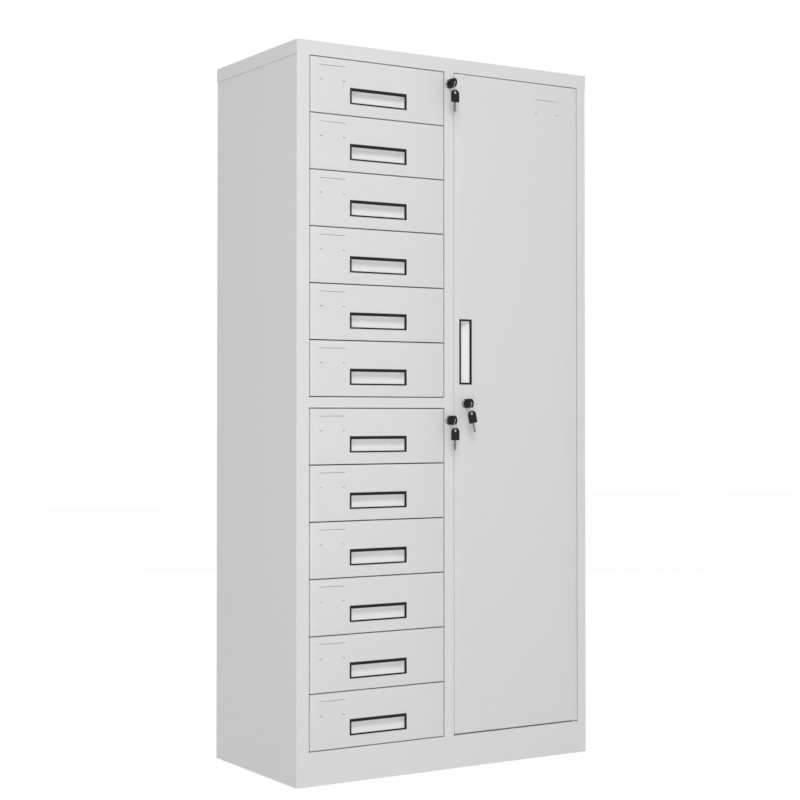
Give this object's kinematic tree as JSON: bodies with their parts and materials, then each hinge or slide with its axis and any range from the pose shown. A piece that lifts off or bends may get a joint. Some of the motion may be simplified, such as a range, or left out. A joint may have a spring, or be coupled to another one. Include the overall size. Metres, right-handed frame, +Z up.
{
  "type": "multi-drawer file cabinet",
  "caption": "Tall sheet-steel file cabinet with a bank of equal drawers beside a full-height locker door, cam locks with keys, and recessed pulls.",
  "frame": {"origin": "on the floor, midway across the width and midway between the front of the keys and the back of the cap", "axes": "+X to the right seen from the front, +Y from the front to the back, +Z up"},
  "size_m": [0.9, 0.4881, 1.85],
  "materials": {
    "casing_powder_coat": "pale grey powder coat, fine satin texture",
    "front_powder_coat": "pale grey powder coat, fine satin texture",
    "black_gloss_plastic": "polished black moulding",
    "black_key_plastic": "black moulded bow with light scuffs",
    "chromed_lock": "bright plated zinc",
    "spring_steel_wire": "bright wire",
    "zinc_plated_steel": "zinc plate with faint spangle",
    "white_nylon": "natural nylon"
  },
  "bodies": {
    "cabinet": {"back_panel": "casing_powder_coat", "base_plinth": "casing_powder_coat", "bottom_panel": "casing_powder_coat", "centre_stile": "casing_powder_coat", "door_pivot_pins": "zinc_plated_steel", "drawer_runners_left": "zinc_plated_steel", "drawer_runners_right": "zinc_plated_steel", "inner_wall_left": "casing_powder_coat", "mid_rail": "casing_powder_coat", "partition_left": "casing_powder_coat", "partition_right": "casing_powder_coat", "shelf_clips": "zinc_plated_steel", "shelves": "casing_powder_coat", "side_panel_left": "casing_powder_coat", "side_panel_right": "casing_powder_coat", "stile_lock_barrels": "chromed_lock", "top_cap": "casing_powder_coat"},
    "drawer_01": {"drawer_01": "front_powder_coat", "drawer_pull_01": "black_gloss_plastic"},
    "drawer_02": {"drawer_02": "front_powder_coat", "drawer_pull_02": "black_gloss_plastic"},
    "drawer_03": {"drawer_03": "front_powder_coat", "drawer_pull_03": "black_gloss_plastic"},
    "drawer_04": {"drawer_04": "front_powder_coat", "drawer_pull_04": "black_gloss_plastic"},
    "drawer_05": {"drawer_05": "front_powder_coat", "drawer_pull_05": "black_gloss_plastic"},
    "drawer_06": {"drawer_06": "front_powder_coat", "drawer_pull_06": "black_gloss_plastic"},
    "drawer_07": {"drawer_07": "front_powder_coat", "drawer_pull_07": "black_gloss_plastic"},
    "drawer_08": {"drawer_08": "front_powder_coat", "drawer_pull_08": "black_gloss_plastic"},
    "drawer_09": {"drawer_09": "front_powder_coat", "drawer_pull_09": "black_gloss_plastic"},
    "drawer_10": {"drawer_10": "front_powder_coat", "drawer_pull_10": "black_gloss_plastic"},
    "drawer_11": {"drawer_11": "front_powder_coat", "drawer_pull_11": "black_gloss_plastic"},
    "drawer_12": {"drawer_12": "front_powder_coat", "drawer_pull_12": "black_gloss_plastic"},
    "door": {"door_panel": "front_powder_coat", "door_back_panel": "front_powder_coat", "door_pull": "black_gloss_plastic", "door_lock_barrel": "chromed_lock", "door_bushes": "white_nylon"},
    "upper_lock": {"upper_lock_plug": "chromed_lock", "upper_key": "black_key_plastic"},
    "upper_ring": {"upper_key_ring": "spring_steel_wire"},
    "upper_spare": {"upper_spare_key": "black_key_plastic"},
    "lower_lock": {"lower_lock_plug": "chromed_lock", "lower_key": "black_key_plastic"},
    "lower_ring": {"lower_key_ring": "spring_steel_wire"},
    "lower_spare": {"lower_spare_key": "black_key_plastic"},
    "door_lock": {"door_lock_plug": "chromed_lock", "door_key": "black_key_plastic"},
    "door_ring": {"door_key_ring": "spring_steel_wire"},
    "door_spare": {"door_spare_key": "black_key_plastic"},
    "upper_gang_bar": {"upper_lock_bar": "zinc_plated_steel"},
    "lower_gang_bar": {"lower_lock_bar": "zinc_plated_steel"}
  },
  "joints": [
    {"name": "drawer_01_slide", "type": "slide", "parent": "cabinet", "child": "drawer_01", "axis": [0, -1, 0], "range_m": [0, 0.3]},
    {"name": "drawer_02_slide", "type": "slide", "parent": "cabinet", "child": "drawer_02", "axis": [0, -1, 0], "range_m": [0, 0.3]},
    {"name": "drawer_03_slide", "type": "slide", "parent": "cabinet", "child": "drawer_03", "axis": [0, -1, 0], "range_m": [0, 0.3]},
    {"name": "drawer_04_slide", "type": "slide", "parent": "cabinet", "child": "drawer_04", "axis": [0, -1, 0], "range_m": [0, 0.3]},
    {"name": "drawer_05_slide", "type": "slide", "parent": "cabinet", "child": "drawer_05", "axis": [0, -1, 0], "range_m": [0, 0.3]},
    {"name": "drawer_06_slide", "type": "slide", "parent": "cabinet", "child": "drawer_06", "axis": [0, -1, 0], "range_m": [0, 0.3]},
    {"name": "drawer_07_slide", "type": "slide", "parent": "cabinet", "child": "drawer_07", "axis": [0, -1, 0], "range_m": [0, 0.3]},
    {"name": "drawer_08_slide", "type": "slide", "parent": "cabinet", "child": "drawer_08", "axis": [0, -1, 0], "range_m": [0, 0.3]},
    {"name": "drawer_09_slide", "type": "slide", "parent": "cabinet", "child": "drawer_09", "axis": [0, -1, 0], "range_m": [0, 0.3]},
    {"name": "drawer_10_slide", "type": "slide", "parent": "cabinet", "child": "drawer_10", "axis": [0, -1, 0], "range_m": [0, 0.3]},
    {"name": "drawer_11_slide", "type": "slide", "parent": "cabinet", "child": "drawer_11", "axis": [0, -1, 0], "range_m": [0, 0.3]},
    {"name": "drawer_12_slide", "type": "slide", "parent": "cabinet", "child": "drawer_12", "axis": [0, -1, 0], "range_m": [0, 0.3]},
    {"name": "door_hinge", "type": "hinge", "parent": "cabinet", "child": "door", "pos_m": [0.409, -0.20037, 0.9492], "axis": [0, 0, 1], "range_deg": [0, 110]},
    {"name": "upper_lock_turn", "type": "hinge", "parent": "cabinet", "child": "upper_lock", "pos_m": [0.0015, -0.20587, 1.782], "axis": [0, -1, 0], "range_deg": [-90, 0]},
    {"name": "upper_ring_swing", "type": "hinge", "parent": "upper_lock", "child": "upper_ring", "pos_m": [0.0015, -0.23487, 1.782], "axis": [-1, 0, 0], "range_deg": [-15, 75]},
    {"name": "upper_spare_swing", "type": "hinge", "parent": "upper_ring", "child": "upper_spare", "pos_m": [0.0015, -0.23487, 1.7554], "axis": [0, -1, 0], "range_deg": [-30, 30]},
    {"name": "lower_lock_turn", "type": "hinge", "parent": "cabinet", "child": "lower_lock", "pos_m": [0.0015, -0.20587, 0.904], "axis": [0, -1, 0], "range_deg": [-90, 0]},
    {"name": "lower_ring_swing", "type": "hinge", "parent": "lower_lock", "child": "lower_ring", "pos_m": [0.0015, -0.23487, 0.904], "axis": [-1, 0, 0], "range_deg": [-15, 75]},
    {"name": "lower_spare_swing", "type": "hinge", "parent": "lower_ring", "child": "lower_spare", "pos_m": [0.0015, -0.23487, 0.8774], "axis": [0, -1, 0], "range_deg": [-30, 30]},
    {"name": "door_lock_turn", "type": "hinge", "parent": "door", "child": "door_lock", "pos_m": [0.053, -0.20587, 0.948], "axis": [0, -1, 0], "range_deg": [0, 90]},
    {"name": "door_ring_swing", "type": "hinge", "parent": "door_lock", "child": "door_ring", "pos_m": [0.053, -0.23487, 0.948], "axis": [-1, 0, 0], "range_deg": [-15, 75]},
    {"name": "door_spare_swing", "type": "hinge", "parent": "door_ring", "child": "door_spare", "pos_m": [0.053, -0.23487, 0.9214], "axis": [0, -1, 0], "range_deg": [-30, 30]},
    {"name": "upper_bar_lift", "type": "slide", "parent": "cabinet", "child": "upper_gang_bar", "axis": [0, 0, 1], "range_m": [0, 0.009]},
    {"name": "lower_bar_lift", "type": "slide", "parent": "cabinet", "child": "lower_gang_bar", "axis": [0, 0, 1], "range_m": [0, 0.009]}
  ],
  "couplings": [
    {"joint": "upper_lock_turn", "follows": "upper_bar_lift", "rad_per_m": -174.5},
    {"joint": "lower_lock_turn", "follows": "lower_bar_lift", "rad_per_m": -174.5}
  ]
}
